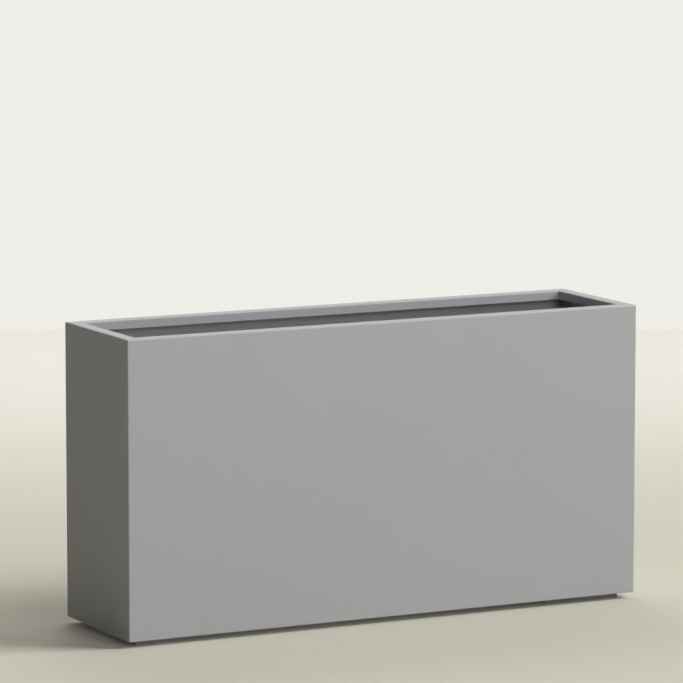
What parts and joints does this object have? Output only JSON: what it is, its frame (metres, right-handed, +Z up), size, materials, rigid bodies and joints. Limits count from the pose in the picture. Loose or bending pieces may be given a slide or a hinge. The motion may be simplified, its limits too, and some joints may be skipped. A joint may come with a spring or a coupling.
{
  "type": "rectangular planter",
  "caption": "Long rectangular floor planter in folded grey sheet steel, with a flat turned-in rim, low skids, a drained floor pan and lift-out pot shelves.",
  "frame": {"origin": "on the floor, under the middle of the planter", "axes": "+X along the length to the right, +Y towards the back, +Z up; the long front wall faces -Y"},
  "size_m": [1.1684, 0.3048, 0.6223],
  "materials": {
    "powder_coat": "satin powder coat",
    "skid_plastic": "matte moulded board",
    "zinc_plate": "zinc plated",
    "galvanised_sheet": "galvanised",
    "sealant": "cured sealant",
    "plug_rubber": "moulded rubber"
  },
  "bodies": {
    "planter": {"front_panel": "powder_coat", "back_panel": "powder_coat", "left_end_panel": "powder_coat", "right_end_panel": "powder_coat", "floor_pan": "powder_coat", "corner_angle_front_left": "powder_coat", "corner_angle_front_right": "powder_coat", "corner_angle_back_left": "powder_coat", "corner_angle_back_right": "powder_coat", "rim_gusset_front_left": "powder_coat", "rim_gusset_front_right": "powder_coat", "rim_gusset_back_left": "powder_coat", "rim_gusset_back_right": "powder_coat", "cross_rail_1": "powder_coat", "cross_rail_2": "powder_coat", "cross_rail_3": "powder_coat", "cross_rail_4": "powder_coat", "rail_studs": "zinc_plate", "rail_nuts": "zinc_plate", "skid_screws": "zinc_plate", "skid_nuts": "zinc_plate", "floor_rivets": "zinc_plate", "floor_seal": "sealant", "left_skid": "skid_plastic", "right_skid": "skid_plastic"},
    "left_shelf": {"left_shelf": "galvanised_sheet"},
    "middle_shelf": {"middle_shelf": "galvanised_sheet"},
    "right_shelf": {"right_shelf": "galvanised_sheet"},
    "drain_plug_left": {"drain_plug_left": "plug_rubber"},
    "drain_plug_middle": {"drain_plug_middle": "plug_rubber"},
    "drain_plug_right": {"drain_plug_right": "plug_rubber"}
  },
  "joints": [
    {"name": "left_shelf_lift", "type": "slide", "parent": "planter", "child": "left_shelf", "axis": [0, 0, 1], "range_m": [0, 0.3]},
    {"name": "middle_shelf_lift", "type": "slide", "parent": "planter", "child": "middle_shelf", "axis": [0, 0, 1], "range_m": [0, 0.3]},
    {"name": "right_shelf_lift", "type": "slide", "parent": "planter", "child": "right_shelf", "axis": [0, 0, 1], "range_m": [0, 0.3]},
    {"name": "drain_plug_left_pull", "type": "slide", "parent": "planter", "child": "drain_plug_left", "axis": [0, 0, 1], "range_m": [0, 0.03]},
    {"name": "drain_plug_middle_pull", "type": "slide", "parent": "planter", "child": "drain_plug_middle", "axis": [0, 0, 1], "range_m": [0, 0.03]},
    {"name": "drain_plug_right_pull", "type": "slide", "parent": "planter", "child": "drain_plug_right", "axis": [0, 0, 1], "range_m": [0, 0.03]}
  ]
}
